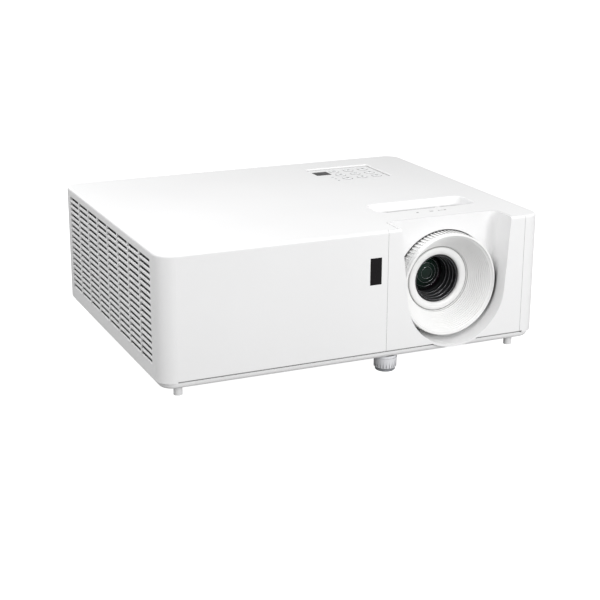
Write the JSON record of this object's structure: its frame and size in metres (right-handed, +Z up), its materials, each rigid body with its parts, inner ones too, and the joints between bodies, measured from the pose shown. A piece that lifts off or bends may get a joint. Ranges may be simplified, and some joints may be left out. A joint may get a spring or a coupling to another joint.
{
  "type": "projector",
  "caption": "Compact white projector: louvred case, lens in a U-shaped scoop with a ribbed focus ring, zoom lever in a roof pocket, keypad and screw feet.",
  "frame": {"origin": "middle of the footprint, on the surface that the feet stand on", "axes": "+Z up; the lens looks along -Y and sits on the +X side of the front"},
  "size_m": [0.337, 0.265, 0.123],
  "materials": {
    "white_shell": "fine moulded texture",
    "white_ring": "satin moulded",
    "white_key": "satin",
    "dark_window": "polished infrared-clear plastic",
    "clear_plastic": "clear light pipe",
    "black_plastic": "matt black",
    "grey_panel": "satin grey",
    "grey_knob": "ribbed satin",
    "sole_rubber": "soft matt",
    "lens_glass": "coated, polished",
    "circuit_board": "solder mask",
    "cast_metal": "die cast",
    "fin_metal": "extruded",
    "wheel_metal": "polished",
    "motor_metal": "turned",
    "laser_brass": "machined",
    "copper": "drawn tube",
    "port_metal": "plated",
    "filter_foam": "open foam",
    "screw_steel": "zinc plated"
  },
  "bodies": {
    "case": {"audio_jacks": "black_plastic", "bottom_case": "white_shell", "case_screws": "screw_steel", "data_ports": "port_metal", "dust_filter": "filter_foam", "engine_housing": "cast_metal", "engine_lid": "cast_metal", "exhaust_fan_frame": "black_plastic", "exhaust_panel": "white_shell", "fixed_foot": "sole_rubber", "front_ir_window": "dark_window", "heat_pipes": "copper", "imaging_board": "circuit_board", "imaging_heat_sink": "fin_metal", "inlet_blades": "laser_brass", "intake_fan_frame": "black_plastic", "keypad_bezel": "white_shell", "keypad_board": "circuit_board", "laser_heat_sink": "fin_metal", "laser_module": "laser_brass", "lens_barrel": "black_plastic", "lens_panel": "white_shell", "lens_trim_ring": "black_plastic", "mainboard": "circuit_board", "mains_inlet": "black_plastic", "pin_ports": "port_metal", "power_supply": "circuit_board", "rear_lens": "lens_glass", "rear_panel": "grey_panel", "relay_optics": "lens_glass", "speaker": "black_plastic", "status_lights": "clear_plastic", "threaded_inserts": "laser_brass", "top_cover": "white_shell", "top_ir_window": "dark_window", "video_ports": "port_metal", "wheel_motors": "motor_metal"},
    "focus_ring": {"focus_ring": "white_ring"},
    "front_group": {"front_lens_cell": "black_plastic", "front_lens": "lens_glass"},
    "zoom_ring": {"zoom_ring": "white_ring"},
    "variator_group": {"variator_cell": "black_plastic", "variator_lens": "lens_glass"},
    "intake_rotor": {"intake_fan_rotor": "black_plastic"},
    "exhaust_rotor": {"exhaust_fan_rotor": "black_plastic"},
    "phosphor_wheel": {"phosphor_wheel": "wheel_metal"},
    "colour_wheel": {"colour_wheel": "wheel_metal"},
    "front_foot_sole": {"front_foot_sole": "sole_rubber"},
    "front_foot_knob": {"front_foot_knob": "grey_knob"},
    "rear_foot_sole": {"rear_foot_sole": "sole_rubber"},
    "rear_foot_knob": {"rear_foot_knob": "grey_knob"},
    "menu_button": {"menu_button": "white_key"},
    "down_button": {"down_button": "white_key"},
    "resync_button": {"resync_button": "white_key"},
    "left_button": {"left_button": "white_key"},
    "enter_button": {"enter_button": "white_key"},
    "right_button": {"right_button": "white_key"},
    "power_button": {"power_button": "white_key"},
    "up_button": {"up_button": "white_key"},
    "source_button": {"source_button": "white_key"}
  },
  "joints": [
    {"name": "focus_turn", "type": "hinge", "parent": "case", "child": "focus_ring", "pos_m": [0.0897, -0.1025, 0.0665], "axis": [0, -1, 0], "range_deg": [-60, 60]},
    {"name": "focus_slide", "type": "slide", "parent": "case", "child": "front_group", "axis": [0, -1, 0], "range_m": [-0.002, 0.002]},
    {"name": "zoom_turn", "type": "hinge", "parent": "case", "child": "zoom_ring", "pos_m": [0.0897, -0.0625, 0.0665], "axis": [0, -1, 0], "range_deg": [0, 32]},
    {"name": "zoom_slide", "type": "slide", "parent": "case", "child": "variator_group", "axis": [0, 1, 0], "range_m": [0, 0.008]},
    {"name": "menu_press", "type": "slide", "parent": "case", "child": "menu_button", "axis": [0, 0, -1], "range_m": [0, 0.0008], "stiffness_N_per_m": 800},
    {"name": "down_press", "type": "slide", "parent": "case", "child": "down_button", "axis": [0, 0, -1], "range_m": [0, 0.0008], "stiffness_N_per_m": 800},
    {"name": "resync_press", "type": "slide", "parent": "case", "child": "resync_button", "axis": [0, 0, -1], "range_m": [0, 0.0008], "stiffness_N_per_m": 800},
    {"name": "left_press", "type": "slide", "parent": "case", "child": "left_button", "axis": [0, 0, -1], "range_m": [0, 0.0008], "stiffness_N_per_m": 800},
    {"name": "enter_press", "type": "slide", "parent": "case", "child": "enter_button", "axis": [0, 0, -1], "range_m": [0, 0.0008], "stiffness_N_per_m": 800},
    {"name": "right_press", "type": "slide", "parent": "case", "child": "right_button", "axis": [0, 0, -1], "range_m": [0, 0.0008], "stiffness_N_per_m": 800},
    {"name": "power_press", "type": "slide", "parent": "case", "child": "power_button", "axis": [0, 0, -1], "range_m": [0, 0.0008], "stiffness_N_per_m": 800},
    {"name": "up_press", "type": "slide", "parent": "case", "child": "up_button", "axis": [0, 0, -1], "range_m": [0, 0.0008], "stiffness_N_per_m": 800},
    {"name": "source_press", "type": "slide", "parent": "case", "child": "source_button", "axis": [0, 0, -1], "range_m": [0, 0.0008], "stiffness_N_per_m": 800},
    {"name": "intake_spin", "type": "hinge", "parent": "case", "child": "intake_rotor", "pos_m": [-0.1475, 0, 0.064], "axis": [1, 0, 0], "continuous": true},
    {"name": "exhaust_spin", "type": "hinge", "parent": "case", "child": "exhaust_rotor", "pos_m": [0.1505, 0.058, 0.064], "axis": [1, 0, 0], "continuous": true},
    {"name": "phosphor_spin", "type": "hinge", "parent": "case", "child": "phosphor_wheel", "pos_m": [0.002, 0.01, 0.0665], "axis": [0, 1, 0], "continuous": true},
    {"name": "colour_spin", "type": "hinge", "parent": "case", "child": "colour_wheel", "pos_m": [0.03, 0.01, 0.0525], "axis": [1, 0, 0], "continuous": true},
    {"name": "front_foot_lift", "type": "slide", "parent": "case", "child": "front_foot_sole", "axis": [0, 0, -1], "range_m": [0, 0.012]},
    {"name": "front_foot_turn", "type": "hinge", "parent": "front_foot_sole", "child": "front_foot_knob", "pos_m": [0.0324, -0.116, 0.006], "axis": [0, 0, -1], "range_deg": [0, 2880]},
    {"name": "rear_foot_lift", "type": "slide", "parent": "case", "child": "rear_foot_sole", "axis": [0, 0, -1], "range_m": [0, 0.003]},
    {"name": "rear_foot_turn", "type": "hinge", "parent": "rear_foot_sole", "child": "rear_foot_knob", "pos_m": [0.128, 0.108, 0.006], "axis": [0, 0, -1], "range_deg": [0, 720]}
  ],
  "couplings": [
    {"joint": "focus_slide", "follows": "focus_turn", "m_per_rad": 0.0019099},
    {"joint": "zoom_slide", "follows": "zoom_turn", "m_per_rad": 0.014324},
    {"joint": "front_foot_turn", "follows": "front_foot_lift", "rad_per_m": 4188.8},
    {"joint": "rear_foot_turn", "follows": "rear_foot_lift", "rad_per_m": 4188.8}
  ]
}
